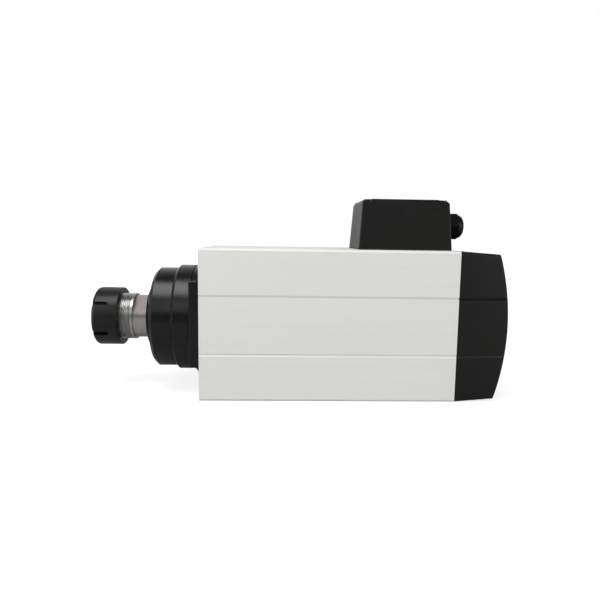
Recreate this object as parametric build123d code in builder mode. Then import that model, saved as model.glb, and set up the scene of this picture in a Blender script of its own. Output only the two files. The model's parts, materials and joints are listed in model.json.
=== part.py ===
from build123d import *
import math
import os

# Square air-cooled router spindle. The spindle axis is X and the nose points to -X.
# The terminal box is on top, +Z, and the flat mounting side is below, -Z.
# The origin is on the spindle axis, where the nose register ends, just in front of the flange lugs.

# Body extrusion
body_width = 100.0
body_height = 123.0
body_corner_radius = 2.0
groove_height = 22.6
groove_depth = 0.8
groove_rise = 2.2
side_wall = 6.0
duct_width = 7.0
duct_rib = 2.5
duct_count = 3
duct_first = 10.0
duct_floor_wall = 4.0
duct_roof_wall = 5.0
mount_spacing_x = 140.0
mount_spacing_y = 80.0
mount_hole_radius = 3.4
mount_hole_depth = 14.0
lead_hole_radius = 7.0
tapped_extra = 2.0

# Front housing
flange_thickness = 8.0
flange_gap = 1.2
flange_inset = 1.0
flange_height = 69.0
flange_chamfer = 0.6
gusset_length = 2.3
gusset_height = 3.1
register_radius = 45.5
register_length = 14.5
register_relief = 1.2
undercut_depth = 1.0
undercut_margin = 0.5
register_chamfer = 2.3
nose_radius = 42.9
nose_length = 18.3
nose_chamfer = 3.0
root_flare = 2.8
root_spread = 3.5
throat_lip = 4.0
spigot_length = 12.0
cover_thickness = 7.3
flange_screw_inset = 6.0
flange_screw_z = 28.0
cover_screw_radius = 36.0
cover_screw_count = 6

# Bearings: bore, outside and width of each size
front_bearing_bore = 17.5
front_bearing_outside = 31.0
front_bearing_width = 14.0
front_ball_radius = 3.9
front_ball_count = 12
bearing_spacer = 4.0
rear_bearing_bore = 12.5
rear_bearing_outside = 26.0
rear_bearing_width = 15.0
rear_ball_radius = 4.0
rear_ball_count = 9
race_clearance = 0.06
race_wall_share = 0.55
cage_thickness = 2.6
cage_side = 1.0

# Shaft and collet seat
collar_radius = 18.5
collar_length = 1.5
flat_length = 11.7
across_flats = 30.0
flat_turn = -50.0
thread_radius = 20.0
thread_length = 23.2
shoulder_radius = 21.5
rotor_wall = 7.0
fan_seat_radius = 10.0
rear_shoulder_step = 3.0
rotor_seat_extra = 4.0
shaft_end_chamfer = 1.0
seat_end_gap = 0.5
taper_angle = 8.0
taper_mouth_radius = 16.3
taper_run_out = 2.0
relief_radius = 11.0
relief_depth = 58.0
relief_point_share = 0.6
labyrinth_radius = 26.5
labyrinth_width = 5.7
labyrinth_gap = 0.3
labyrinth_chamfer = 1.5
locknut_width = 8.0
locknut_space = 1.0
locknut_radius = 24.0
locknut_notches = 4
locknut_notch_depth = 2.0
locknut_notch_width = 5.0

# Collet and its nut
collet_length = 40.0
collet_radius = 16.5
collet_bore = 6.0
collet_face_radius = 12.6
collet_head_radius = 14.7
collet_head_land = 0.6
collet_groove_radius = 13.5
collet_groove_width = 2.5
collet_recess = 1.0
collet_slit = 0.8
collet_slit_count = 8
collet_slit_end = 5.0
head_angle = 30.0
nut_radius = 25.0
nut_length = 21.5
nut_overhang = 9.5
nut_front_round = 2.6
nut_rear_chamfer = 0.6
nut_thread_chamfer = 0.8
nut_slot_width = 4.4
nut_slot_depth = 3.0
nut_slot_length = 13.5
nut_slot_count = 6
nut_slot_turn = 29.0
extractor_width = 2.1
extractor_radius = 18.2

# Motor
stator_length = 100.0
stator_setback = 52.0
stator_rear_room = 56.0
stator_slots = 24
stator_slot_width = 3.6
stator_slot_share = 0.63
stator_tooth_tip = 2.0
slot_mouth = 1.6
end_turn_length = 20.0
end_turn_gap = 3.0
end_turn_bulge = 2.0
end_turn_round = 4.0
coil_overlap = 1.0
air_gap = 0.5
rotor_share = 0.5455
end_ring_length = 8.0
end_ring_wall = 5.0
end_ring_step = 0.5

# Rear bracket, fan and cap
bracket_thickness = 7.0
bracket_boss_wall = 6.0
bracket_boss_lead = 1.0
bracket_spigot_wall = 4.0
bracket_spigot_length = 8.0
bracket_corner_radius = 3.0
bracket_inset = 4.0
bracket_bore_gap = 3.0
bracket_screw_inset = 9.0
bracket_screw_z = 28.0
spring_space = 2.0
spring_thickness = 0.8
spring_land = 0.5
circlip_width = 1.6
circlip_wall = 2.0
circlip_opening = 6.0
fan_radius = 41.0
fan_hub_radius = 15.0
fan_length = 14.0
fan_gap = 3.0
fan_blades = 9
fan_blade_thickness = 1.6
fan_blade_chord = 17.0
fan_root_chord = 13.6
fan_root_pitch = 52.0
fan_tip_pitch = 32.0
fan_blade_sink = 1.0
fan_washer_thickness = 1.5
fan_washer_lip = 2.0
cap_length = 42.3
cap_taper = 3.5
cap_crown = 195.0
cap_wall = 3.0
cap_corner_radius = 2.0
cap_edge_round = 1.4
cap_screw_side_inset = 10.5
cap_screw_top_inset = 12.0
cap_post_radius = 4.6
grille_radius = 39.0
grille_rows = 11
grille_pitch = 6.6
grille_slot = 3.4
grille_rib = 4.0

# Terminal box
box_length = 77.4
box_width = 64.0
box_height = 40.7
box_lead_gap = 36.4
box_draft = 4.0
box_wall = 3.0
box_chamfer = 3.2
box_edge_round = 1.0
box_post_radius = 4.4
box_screw_inset = 7.6
box_land_depth = 6.0
box_land_rim = 2.0
gasket_thickness = 1.0
gasket_width = 4.0
terminal_length = 22.0
terminal_width = 38.0
terminal_height = 11.0
terminal_setback = 3.5
terminal_pitch = 12.5
terminal_row_gap = 10.0
stud_height = 12.0
stud_nut_flats = 7.0
stud_nut_height = 3.2
barrier_height = 5.0
barrier_thickness = 1.6
block_corner_radius = 2.0
earth_gap = 6.0
earth_inset = 14.0
lead_radius = 1.4
lead_bend = 5.0
lead_start_gap = 1.2
lead_end_gap = 1.0

# Cable gland
gland_height = 20.5
gland_thread_radius = 8.0
gland_flange = 5.0
gland_flats = 22.0
gland_nut_length = 12.8
gland_dome_length = 6.2
gland_bore = 4.5
gland_seal_radius = 6.4
gland_washer = 1.0
gland_inside_length = 7.0
gland_engagement = 8.0
gland_lip = 2.0
gland_lip_cone = 1.0
gland_dome_shoulder = 0.4
gland_dome_land = 1.0
gland_locknut_length = 4.0
quarter_turn = 90

# Screws: thread radius, head radius and head height
m4 = (2.0, 3.5, 4.0)
m5 = (2.5, 4.25, 5.0)
m6 = (3.0, 5.0, 6.0)
screw_bite = 10.0
head_recess = 0.6
socket_share = 0.85
socket_depth_share = 0.5

# Clearances
seat = 0.02
running = 0.05
loose = 0.25

# Places along the spindle axis, from the nose to the tail
body_front = flange_gap + flange_thickness
body_length = stator_setback + stator_length + stator_rear_room
body_back = body_front + body_length
register_front = -register_length
nose_front = register_front - nose_length
cover_back = nose_front + cover_thickness
bearing_starts = (cover_back, cover_back + front_bearing_width + bearing_spacer)
bearing_back = bearing_starts[1] + front_bearing_width
spigot_back = body_front + spigot_length
labyrinth_front = nose_front - labyrinth_width
flat_back = labyrinth_front - collar_length
thread_back = flat_back - flat_length
shaft_front = thread_back - thread_length
nut_front = shaft_front - nut_overhang
nut_back = nut_front + nut_length
stator_front = body_front + stator_setback
stator_back = stator_front + stator_length
bracket_back = body_back + bracket_thickness
spring_back = bracket_back - bracket_thickness / 2
rear_bearing_back = spring_back - spring_space
rear_bearing_front = rear_bearing_back - rear_bearing_width
fan_front = bracket_back + fan_gap
fan_back = fan_front + fan_length
shaft_back = fan_back - seat_end_gap
cap_back = body_back + cap_length

# Radii that follow from the sizes above
stator_radius = body_width / 2 - side_wall
rotor_radius = stator_radius * rotor_share
rotor_seat_radius = rotor_radius - rotor_wall
slot_floor = rotor_radius + air_gap + stator_tooth_tip
stator_slot_depth = (stator_radius - slot_floor) * stator_slot_share
slot_centre = slot_floor + stator_slot_depth / 2
relief_rim = register_radius - register_relief
flare_radius = register_radius + root_spread
throat_radius = front_bearing_outside - throat_lip
front_pitch = (front_bearing_bore + front_bearing_outside) / 2
rear_pitch = (rear_bearing_bore + rear_bearing_outside) / 2
taper_slope = math.tan(math.radians(taper_angle))
head_slope = math.tan(math.radians(head_angle))
half_height = body_height / 2

side_view = Plane.XZ
front_view = Plane(origin=(0, 0, 0), x_dir=(0, 1, 0), z_dir=(-1, 0, 0))


def turn(outline, mode=Mode.ADD):
    # Spin a closed outline of (x, radius) points round the spindle axis.
    with BuildSketch(side_view) as profile:
        with BuildLine():
            Polyline(*outline, close=True)
        make_face()
    revolve(profile.sketch, axis=Axis.X, mode=mode)


def ring(front, back, outer, inner, mode=Mode.ADD):
    # A plain ring or disc on the spindle axis.
    turn([(front, inner), (front, outer), (back, outer), (back, inner)], mode)


def across(x):
    # The plane square to the spindle axis at x, facing the tail.
    return Plane.YZ.offset(x)


def rim(builder, place, largest=True):
    # The largest or smallest round edge at one end of a turned piece: 0 is the nose end, -1 the tail.
    circles = builder.edges().filter_by(GeomType.CIRCLE).group_by(Axis.X)[place]
    return circles.sort_by(SortBy.RADIUS)[-1 if largest else 0]


def save(builder, name):
    builder.part.label = name
    export_step(builder.part, f"parts/{name}.step")


def corner_points(y, z):
    # The same point in all four quarters of a cross section.
    return [(side * y, level * z) for side in (-1, 1) for level in (-1, 1)]


def groove_points(side, level, inward=0.0):
    # The outline of a side groove: a flat ledge towards the axis and a slope away from it.
    floor = side * (body_width / 2 - inward - groove_depth)
    outside = side * (body_width / 2 - inward + groove_depth)
    ledge = level * groove_height
    return [(floor, ledge), (outside, ledge), (outside, ledge + level * 2 * groove_rise)]


def cap_screw(points, head_face, sizes, length, towards):
    # Socket head screws along X: the head's outer face is at head_face, the shank runs towards +1 or -1.
    thread, head, height = sizes
    with BuildSketch(across(head_face)) as heads:
        with Locations(*points):
            Circle(head)
    extrude(heads.sketch, amount=towards * height)
    with BuildSketch(across(head_face + towards * height)) as shanks:
        with Locations(*points):
            Circle(thread)
    extrude(shanks.sketch, amount=towards * (length - height))
    with BuildSketch(across(head_face)) as sockets:
        with Locations(*points):
            RegularPolygon(thread * socket_share, 6)
    extrude(sockets.sketch, amount=towards * height * socket_depth_share, mode=Mode.SUBTRACT)


def drill_along(points, face, radius, depth, mode=Mode.SUBTRACT):
    # Round holes along X from a face, with the depth signed.
    with BuildSketch(across(face)) as holes:
        with Locations(*points):
            Circle(radius)
    extrude(holes.sketch, amount=depth, mode=mode)


def duct_outline(x, spread=0.0):
    # The cooling ducts, above and below the stator.
    places = [duct_first + duct_width / 2 + i * (duct_width + duct_rib) for i in range(duct_count)]
    with BuildSketch(across(x)) as ducts:
        with Locations(*[(side * y, 0) for side in (-1, 1) for y in places]):
            Rectangle(duct_width + 2 * spread, 2 * (half_height - duct_roof_wall + spread))
        Circle(stator_radius + duct_floor_wall - spread, mode=Mode.SUBTRACT)
    return ducts.sketch


def race(centre, width, outer, inner, pitch, ball):
    # A bearing ring with its ball groove.
    with BuildSketch(side_view) as profile:
        with Locations((centre, (outer + inner) / 2)):
            Rectangle(width, outer - inner)
        with Locations((centre, pitch)):
            Circle(ball + race_clearance, mode=Mode.SUBTRACT)
    revolve(profile.sketch, axis=Axis.X)


def ball_places(centre, pitch, count):
    step = 2 * math.pi / count
    return [(centre, pitch * math.cos(i * step), pitch * math.sin(i * step)) for i in range(count)]


os.makedirs("parts", exist_ok=True)

# Screw places, shared by the screws and their holes
flange_width = body_width - 2 * flange_inset
flange_screw_y = flange_width / 2 - flange_screw_inset
bracket_screw_y = body_width / 2 - bracket_screw_inset
cap_screw_y = body_width / 2 - cap_screw_side_inset
cap_screw_z = half_height - cap_screw_top_inset
flange_points = corner_points(flange_screw_y, flange_screw_z)
bracket_points = corner_points(bracket_screw_y, bracket_screw_z)
cap_points = corner_points(cap_screw_y, cap_screw_z)
lead_x = stator_back + end_turn_gap + end_turn_length / 2
box_front = lead_x - box_lead_gap
box_back = box_front + box_length
box_centre = (box_front + box_back) / 2
box_top = half_height + gasket_thickness + box_height
box_points = [
    (box_centre + end * (box_length / 2 - box_screw_inset), side * (box_width / 2 - box_screw_inset))
    for end in (-1, 1) for side in (-1, 1)
]
mount_centre = body_front + body_length / 2
terminal_x = box_front + box_wall + terminal_setback + terminal_length / 2
earth_point = (terminal_x + terminal_length / 2 + earth_gap, box_width / 2 - earth_inset)

# Body extrusion: square aluminium tube with the stator bore and cooling ducts
with BuildPart() as body_extrusion:
    with BuildSketch(across(body_front)):
        RectangleRounded(body_width, body_height, body_corner_radius)
        Circle(stator_radius, mode=Mode.SUBTRACT)
        for side, level in corner_points(1, 1):
            with BuildLine():
                Polyline(*groove_points(side, level), close=True)
            make_face(mode=Mode.SUBTRACT)
    extrude(amount=body_length)
    extrude(duct_outline(body_front), amount=body_length, mode=Mode.SUBTRACT)
    with BuildSketch(Plane.XY.offset(-half_height)):
        with Locations((mount_centre, 0)):
            with GridLocations(mount_spacing_x, mount_spacing_y, 2, 2):
                Circle(mount_hole_radius)
    extrude(amount=mount_hole_depth, mode=Mode.SUBTRACT)
    with BuildSketch(Plane.XY.offset(half_height)):
        with Locations((lead_x, 0)):
            Circle(lead_hole_radius)
    extrude(amount=-(half_height - stator_radius * 0.9), mode=Mode.SUBTRACT)
    with BuildSketch(Plane.XY.offset(half_height)):
        with Locations(*box_points, earth_point):
            Circle(m4[0] + seat)
    extrude(amount=-screw_bite / 2, mode=Mode.SUBTRACT)
    drill_along(flange_points, body_front, m5[0] + seat, screw_bite + tapped_extra)
    drill_along(bracket_points, body_back, m5[0] + seat, -screw_bite - tapped_extra)
    drill_along(cap_points, body_back, m4[0] + seat, -screw_bite - tapped_extra)
save(body_extrusion, "body_extrusion")

# Front housing: stepped nose, flange with two lugs, spigot in the stator bore
with BuildPart() as front_housing:
    with BuildSketch(side_view):
        with BuildLine():
            Polyline(
                (flange_gap, -flange_height / 2),
                (flange_gap, flange_height / 2),
                (body_front - gusset_length, flange_height / 2),
                (body_front, flange_height / 2 + gusset_height),
                (body_front, -flange_height / 2 - gusset_height),
                (body_front - gusset_length, -flange_height / 2),
                close=True,
            )
        make_face()
    extrude(amount=flange_width / 2, both=True)
    chamfer(front_housing.edges().group_by(Axis.X)[0], flange_chamfer)
    ring(flange_gap, flange_gap + undercut_depth, register_radius + undercut_margin, 0, Mode.SUBTRACT)
    turn([
        (cover_back, 0),
        (cover_back, nose_radius),
        (register_front, nose_radius),
        (register_front, register_radius - register_chamfer),
        (register_front + register_chamfer, register_radius),
        (0, register_radius),
        (0, relief_rim),
        (body_front - root_flare, relief_rim),
        (body_front, flare_radius),
        (body_front, stator_radius - seat),
        (spigot_back, stator_radius - seat),
        (spigot_back, 0),
    ])
    ring(cover_back, bearing_back, front_bearing_outside + seat, 0, Mode.SUBTRACT)
    ring(bearing_back, spigot_back, throat_radius, 0, Mode.SUBTRACT)
    drill_along(flange_points, flange_gap, m5[0] + loose, flange_thickness)
    drill_along(flange_points, flange_gap, m5[1] + loose, m5[2] + head_recess)
    with BuildSketch(across(cover_back)):
        with PolarLocations(cover_screw_radius, cover_screw_count):
            Circle(m4[0] + seat)
    extrude(amount=screw_bite + tapped_extra, mode=Mode.SUBTRACT)
save(front_housing, "front_housing")

with BuildPart() as flange_screws:
    cap_screw(flange_points, flange_gap + head_recess, m5, flange_thickness + screw_bite - head_recess, 1)
save(flange_screws, "flange_screws")

# Front cover: closes the nose and clamps the outer rings of the front bearings
with BuildPart() as front_cover:
    ring(nose_front, cover_back, nose_radius, shoulder_radius + 2 * loose)
    chamfer(rim(front_cover, 0), nose_chamfer)
    with Locations(front_view.offset(-nose_front)):
        with PolarLocations(cover_screw_radius, cover_screw_count):
            CounterBoreHole(m4[0] + loose, m4[1] + loose / 2, m4[2] + head_recess, cover_thickness)
save(front_cover, "front_cover")

with BuildPart() as front_cover_screws:
    step = 2 * math.pi / cover_screw_count
    circle_points = [
        (cover_screw_radius * math.cos(i * step), cover_screw_radius * math.sin(i * step))
        for i in range(cover_screw_count)
    ]
    cap_screw(circle_points, nose_front + head_recess, m4, cover_thickness + screw_bite - head_recess, 1)
save(front_cover_screws, "front_cover_screws")

# Spindle shaft: collet seat, thread for the nut, wrench flats, bearing, rotor and fan seats
with BuildPart() as spindle_shaft:
    turn([
        (shaft_front, 0),
        (shaft_front, thread_radius),
        (thread_back, thread_radius),
        (thread_back, collar_radius),
        (nose_front + labyrinth_gap, collar_radius),
        (nose_front + labyrinth_gap, shoulder_radius),
        (cover_back, shoulder_radius),
        (cover_back, front_bearing_bore),
        (bearing_back + locknut_width + locknut_space, front_bearing_bore),
        (bearing_back + locknut_width + locknut_space, rotor_seat_radius),
        (stator_back + end_ring_length + rotor_seat_extra, rotor_seat_radius),
        (stator_back + end_ring_length + rotor_seat_extra, rear_bearing_bore + rear_shoulder_step),
        (rear_bearing_front, rear_bearing_bore + rear_shoulder_step),
        (rear_bearing_front, rear_bearing_bore),
        (fan_front - seat_end_gap, rear_bearing_bore),
        (fan_front - seat_end_gap, fan_seat_radius),
        (shaft_back, fan_seat_radius),
        (shaft_back, 0),
    ])
    chamfer(rim(spindle_shaft, 0), shaft_end_chamfer)
    with BuildSketch(across(thread_back)):
        Circle(thread_radius + loose)
        Rectangle(across_flats, 3 * thread_radius, rotation=flat_turn, mode=Mode.SUBTRACT)
    extrude(amount=flat_length, mode=Mode.SUBTRACT)
    taper_depth = collet_length - nut_overhang + collet_recess + taper_run_out
    turn([
        (shaft_front, 0),
        (shaft_front, taper_mouth_radius),
        (shaft_front + taper_depth, taper_mouth_radius - taper_depth * taper_slope),
        (shaft_front + taper_depth, relief_radius),
        (shaft_front + relief_depth, relief_radius),
        (shaft_front + relief_depth + relief_radius * relief_point_share, 0),
    ], Mode.SUBTRACT)
    ring(shaft_back - screw_bite - tapped_extra, shaft_back, m6[0] + seat, 0, Mode.SUBTRACT)
save(spindle_shaft, "spindle_shaft")

# Labyrinth ring: turns with the shaft and keeps dust out of the nose
with BuildPart() as labyrinth_ring:
    turn([
        (labyrinth_front, collar_radius + seat),
        (labyrinth_front, labyrinth_radius - labyrinth_chamfer),
        (labyrinth_front + labyrinth_chamfer, labyrinth_radius),
        (nose_front - labyrinth_gap, labyrinth_radius),
        (nose_front - labyrinth_gap, shoulder_radius - loose),
        (nose_front + labyrinth_gap, shoulder_radius - loose),
        (nose_front + labyrinth_gap, collar_radius + seat),
    ])
save(labyrinth_ring, "labyrinth_ring")

# Front bearings: a spaced pair of angular contact rings
ring_wall = front_ball_radius * race_wall_share
front_centres = [start + front_bearing_width / 2 for start in bearing_starts]
with BuildPart() as front_bearing_outer_rings:
    for centre in front_centres:
        race(centre, front_bearing_width, front_bearing_outside, front_pitch + ring_wall, front_pitch,
             front_ball_radius)
save(front_bearing_outer_rings, "front_bearing_outer_rings")

with BuildPart() as front_bearing_inner_rings:
    for centre in front_centres:
        race(centre, front_bearing_width, front_pitch - ring_wall, front_bearing_bore + seat, front_pitch,
             front_ball_radius)
save(front_bearing_inner_rings, "front_bearing_inner_rings")

with BuildPart() as front_bearing_balls:
    for centre in front_centres:
        with Locations(*ball_places(centre, front_pitch, front_ball_count)):
            Sphere(front_ball_radius)
save(front_bearing_balls, "front_bearing_balls")

with BuildPart() as front_bearing_cages:
    for centre in front_centres:
        ring(centre - front_ball_radius - cage_side, centre + front_ball_radius + cage_side,
             front_pitch + cage_thickness / 2, front_pitch - cage_thickness / 2)
        with Locations(*ball_places(centre, front_pitch, front_ball_count)):
            Sphere(front_ball_radius + race_clearance, mode=Mode.SUBTRACT)
save(front_bearing_cages, "front_bearing_cages")

spacer_front = bearing_starts[0] + front_bearing_width
with BuildPart() as outer_spacer:
    ring(spacer_front, bearing_starts[1], front_bearing_outside, front_pitch + ring_wall)
save(outer_spacer, "outer_spacer")

with BuildPart() as inner_spacer:
    ring(spacer_front, bearing_starts[1], front_pitch - ring_wall, front_bearing_bore + seat)
save(inner_spacer, "inner_spacer")

# Slotted nut that clamps the inner rings on the shaft
with BuildPart() as bearing_locknut:
    ring(bearing_back, bearing_back + locknut_width, locknut_radius, front_bearing_bore + seat)
    with BuildSketch(across(bearing_back + locknut_width / 2)):
        with PolarLocations(locknut_radius, locknut_notches):
            Rectangle(2 * locknut_notch_depth, locknut_notch_width)
    extrude(amount=locknut_width / 2, mode=Mode.SUBTRACT)
save(bearing_locknut, "bearing_locknut")

# Stator core: round laminations with slots that open to the rotor
with BuildPart() as stator_core:
    with BuildSketch(across(stator_front)):
        Circle(stator_radius - seat)
        Circle(rotor_radius + air_gap, mode=Mode.SUBTRACT)
        with PolarLocations(slot_centre, stator_slots):
            Rectangle(stator_slot_depth, stator_slot_width, mode=Mode.SUBTRACT)
        with PolarLocations(slot_floor, stator_slots):
            Rectangle(2 * stator_tooth_tip + 0.4, slot_mouth, mode=Mode.SUBTRACT)
    extrude(amount=stator_length)
save(stator_core, "stator_core")

# Stator windings: coil sides in the slots and a bound end turn at each end
with BuildPart() as stator_windings:
    with BuildSketch(across(stator_front - end_turn_gap - coil_overlap)):
        with PolarLocations(slot_centre, stator_slots):
            Rectangle(stator_slot_depth - 2 * loose, stator_slot_width - 2 * loose)
    extrude(amount=stator_length + 2 * (end_turn_gap + coil_overlap))
    for start in (stator_front - end_turn_gap - end_turn_length, stator_back + end_turn_gap):
        with BuildSketch(side_view) as end_turn:
            with Locations((start + end_turn_length / 2, slot_centre)):
                RectangleRounded(end_turn_length, stator_slot_depth + end_turn_bulge, end_turn_round)
        revolve(end_turn.sketch, axis=Axis.X)
save(stator_windings, "stator_windings")

# Rotor: laminated core with a cast ring at each end
with BuildPart() as rotor_core:
    ring(stator_front, stator_back, rotor_radius, rotor_seat_radius + seat)
save(rotor_core, "rotor_core")

with BuildPart() as rotor_end_rings:
    for start in (stator_front - end_ring_length, stator_back):
        ring(start, start + end_ring_length, rotor_radius - end_ring_step, rotor_radius - end_ring_wall)
save(rotor_end_rings, "rotor_end_rings")

# Rear bracket: carries the rear bearing and passes the cooling air
bracket_width = body_width - 2 * bracket_inset
bracket_height = body_height - 2 * bracket_inset
with BuildPart() as rear_bracket:
    with BuildSketch(across(body_back)):
        RectangleRounded(bracket_width, bracket_height, bracket_corner_radius)
    extrude(amount=bracket_thickness)
    ring(body_back - bracket_spigot_length, body_back, stator_radius - seat,
         stator_radius - bracket_spigot_wall)
    ring(rear_bearing_front - bracket_boss_lead, body_back, rear_bearing_outside + bracket_boss_wall, 0)
    ring(rear_bearing_front - bracket_boss_lead, spring_back, rear_bearing_outside + seat, 0, Mode.SUBTRACT)
    ring(spring_back, bracket_back, rear_bearing_bore + bracket_bore_gap, 0, Mode.SUBTRACT)
    extrude(duct_outline(body_back, loose), amount=bracket_thickness, mode=Mode.SUBTRACT)
    drill_along(bracket_points, body_back, m5[0] + loose, bracket_thickness)
    drill_along(cap_points, body_back, m4[0] + loose, bracket_thickness)
save(rear_bracket, "rear_bracket")

with BuildPart() as bracket_screws:
    cap_screw(bracket_points, bracket_back + m5[2], m5, bracket_thickness + screw_bite + m5[2], -1)
save(bracket_screws, "bracket_screws")

# Rear bearing, with its preload spring and circlip
rear_wall = rear_ball_radius * race_wall_share
rear_centre = rear_bearing_front + rear_bearing_width / 2
with BuildPart() as rear_bearing_outer_ring:
    race(rear_centre, rear_bearing_width, rear_bearing_outside, rear_pitch + rear_wall, rear_pitch,
         rear_ball_radius)
save(rear_bearing_outer_ring, "rear_bearing_outer_ring")

with BuildPart() as rear_bearing_inner_ring:
    race(rear_centre, rear_bearing_width, rear_pitch - rear_wall, rear_bearing_bore + seat, rear_pitch,
         rear_ball_radius)
save(rear_bearing_inner_ring, "rear_bearing_inner_ring")

with BuildPart() as rear_bearing_balls:
    with Locations(*ball_places(rear_centre, rear_pitch, rear_ball_count)):
        Sphere(rear_ball_radius)
save(rear_bearing_balls, "rear_bearing_balls")

with BuildPart() as rear_bearing_cage:
    ring(rear_centre - rear_ball_radius - cage_side, rear_centre + rear_ball_radius + cage_side,
         rear_pitch + cage_thickness / 2, rear_pitch - cage_thickness / 2)
    with Locations(*ball_places(rear_centre, rear_pitch, rear_ball_count)):
        Sphere(rear_ball_radius + race_clearance, mode=Mode.SUBTRACT)
save(rear_bearing_cage, "rear_bearing_cage")

with BuildPart() as preload_spring:
    spring_inside = rear_pitch + rear_wall + spring_land
    spring_outside = rear_bearing_outside - loose
    turn([
        (rear_bearing_back, spring_inside),
        (rear_bearing_back + spring_thickness, spring_inside),
        (spring_back, spring_outside),
        (spring_back - spring_thickness, spring_outside),
    ])
save(preload_spring, "preload_spring")

with BuildPart() as rear_circlip:
    ring(rear_bearing_back, rear_bearing_back + circlip_width,
         rear_bearing_bore + circlip_wall, rear_bearing_bore + seat)
    with BuildSketch(across(rear_bearing_back)):
        with Locations((0, rear_bearing_bore + circlip_wall / 2)):
            Rectangle(circlip_opening, 2 * circlip_wall)
    extrude(amount=circlip_width, mode=Mode.SUBTRACT)
save(rear_circlip, "rear_circlip")

# Cooling fan: pitched blades round a hub on the shaft's tail
blade_root = fan_hub_radius - fan_blade_sink
with BuildPart() as fan_blade:
    for radius, chord, pitch in (
        (blade_root, fan_root_chord, fan_root_pitch),
        (fan_radius, fan_blade_chord, fan_tip_pitch),
    ):
        with BuildSketch(Plane.XY.offset(radius)):
            with Locations(((fan_front + fan_back) / 2, 0)):
                Rectangle(chord, fan_blade_thickness, rotation=pitch)
    loft()

with BuildPart() as cooling_fan:
    ring(fan_front, fan_back, fan_hub_radius, fan_seat_radius + seat)
    for index in range(fan_blades):
        add(fan_blade.part.rotate(Axis.X, index * 360 / fan_blades))
save(cooling_fan, "cooling_fan")

with BuildPart() as fan_washer:
    ring(fan_back, fan_back + fan_washer_thickness,
         fan_seat_radius + fan_washer_lip, m6[0] + loose)
save(fan_washer, "fan_washer")

with BuildPart() as fan_screw:
    cap_screw([(0, 0)], fan_back + fan_washer_thickness + m6[2], m6, m6[2] + screw_bite, -1)
save(fan_screw, "fan_screw")


def cap_form(inset):
    # The cap's tapered block with its crowned back, drawn in by an inset for the hollow.
    with BuildPart() as form:
        for x in (body_back, cap_back):
            drawn_in = inset + (x - body_back) * math.tan(math.radians(cap_taper))
            with BuildSketch(across(x)):
                RectangleRounded(body_width - 2 * drawn_in, body_height - 2 * drawn_in, cap_corner_radius)
        loft()
        edge_x = cap_back - inset
        crown = cap_crown - inset
        drop = crown - math.sqrt(crown**2 - half_height**2)
        with BuildSketch(side_view):
            with BuildLine():
                Polyline((edge_x - drop, half_height), (body_back, half_height), (body_back, -half_height),
                         (edge_x - drop, -half_height))
                ThreePointArc((edge_x - drop, -half_height), (edge_x, 0), (edge_x - drop, half_height))
            make_face()
        extrude(amount=body_width, both=True, mode=Mode.INTERSECT)
    return form.part


def crown_at(z):
    # Where the cap's back face lies at a height above the axis.
    return cap_back - cap_crown + math.sqrt(cap_crown**2 - z**2)


# Rear cap: hollow cover over the fan, with an intake grille in its crowned back
with BuildPart() as rear_cap:
    add(cap_form(0))
    fillet(rear_cap.faces().filter_by(GeomType.CYLINDER).sort_by(Axis.X)[-1].edges(), cap_edge_round)
    add(cap_form(cap_wall), mode=Mode.SUBTRACT)
    post_length = crown_at(cap_screw_z) - cap_wall / 2 - bracket_back
    drill_along(cap_points, bracket_back, cap_post_radius, post_length, Mode.ADD)
    drill_along(cap_points, bracket_back, m4[0] + loose, cap_back - bracket_back)
    cap_head_face = crown_at(cap_screw_z + m4[1]) - head_recess
    drill_along(cap_points, cap_head_face - m4[2], m4[1] + loose, cap_length)
    with BuildSketch(across(cap_back - cap_length / 2)):
        for row in range(grille_rows):
            z = (row - (grille_rows - 1) / 2) * grille_pitch
            half_chord = math.sqrt(grille_radius**2 - z**2)
            slot_length = half_chord - grille_rib / 2
            with Locations(*[(side * (grille_rib / 2 + slot_length / 2), z) for side in (-1, 1)]):
                SlotOverall(slot_length, grille_slot)
    extrude(amount=cap_length, mode=Mode.SUBTRACT)
    for side, level in corner_points(1, 1):
        for plane_x in (body_back, cap_back):
            drawn_in = (plane_x - body_back) * math.tan(math.radians(cap_taper))
            with BuildSketch(across(plane_x)):
                with BuildLine():
                    Polyline(*groove_points(side, level, drawn_in), close=True)
                make_face()
        loft(mode=Mode.SUBTRACT)
save(rear_cap, "rear_cap")

with BuildPart() as cap_screws:
    cap_screw(cap_points, cap_head_face, m4, cap_head_face - body_back + screw_bite, -1)
save(cap_screws, "cap_screws")

# Collet: slotted spring collet, seated in the shaft's taper
collet_front = nut_front + collet_recess
collet_back = collet_front + collet_length
head_cone = (collet_head_radius - collet_face_radius) / head_slope
groove_front = collet_front + head_cone + collet_head_land
groove_back = groove_front + collet_groove_width
cone_start = shaft_front - (collet_radius - taper_mouth_radius + running) / taper_slope
with BuildPart() as collet:
    turn([
        (collet_front, collet_bore),
        (collet_front, collet_face_radius),
        (collet_front + head_cone, collet_head_radius),
        (groove_front, collet_head_radius),
        (groove_front, collet_groove_radius),
        (groove_back, collet_groove_radius),
        (groove_back, collet_radius),
        (max(cone_start, groove_back + 0.2), collet_radius),
        (collet_back, collet_radius - (collet_back - cone_start) * taper_slope),
        (collet_back, collet_bore),
    ])
    for index in range(2 * collet_slit_count):
        slit_front = collet_front - 1 if index % 2 else collet_front + collet_slit_end
        slit_back = collet_back - collet_slit_end if index % 2 else collet_back + 1
        with BuildSketch(Plane(origin=(0, 0, 0), x_dir=(1, 0, 0), z_dir=(0, 0, 1)).rotated(
                (index * 180 / collet_slit_count, 0, 0)).offset(collet_bore / 2)):
            with Locations(((slit_front + slit_back) / 2, 0)):
                Rectangle(slit_back - slit_front, collet_slit)
        extrude(amount=collet_radius, mode=Mode.SUBTRACT)
save(collet, "collet")

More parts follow.
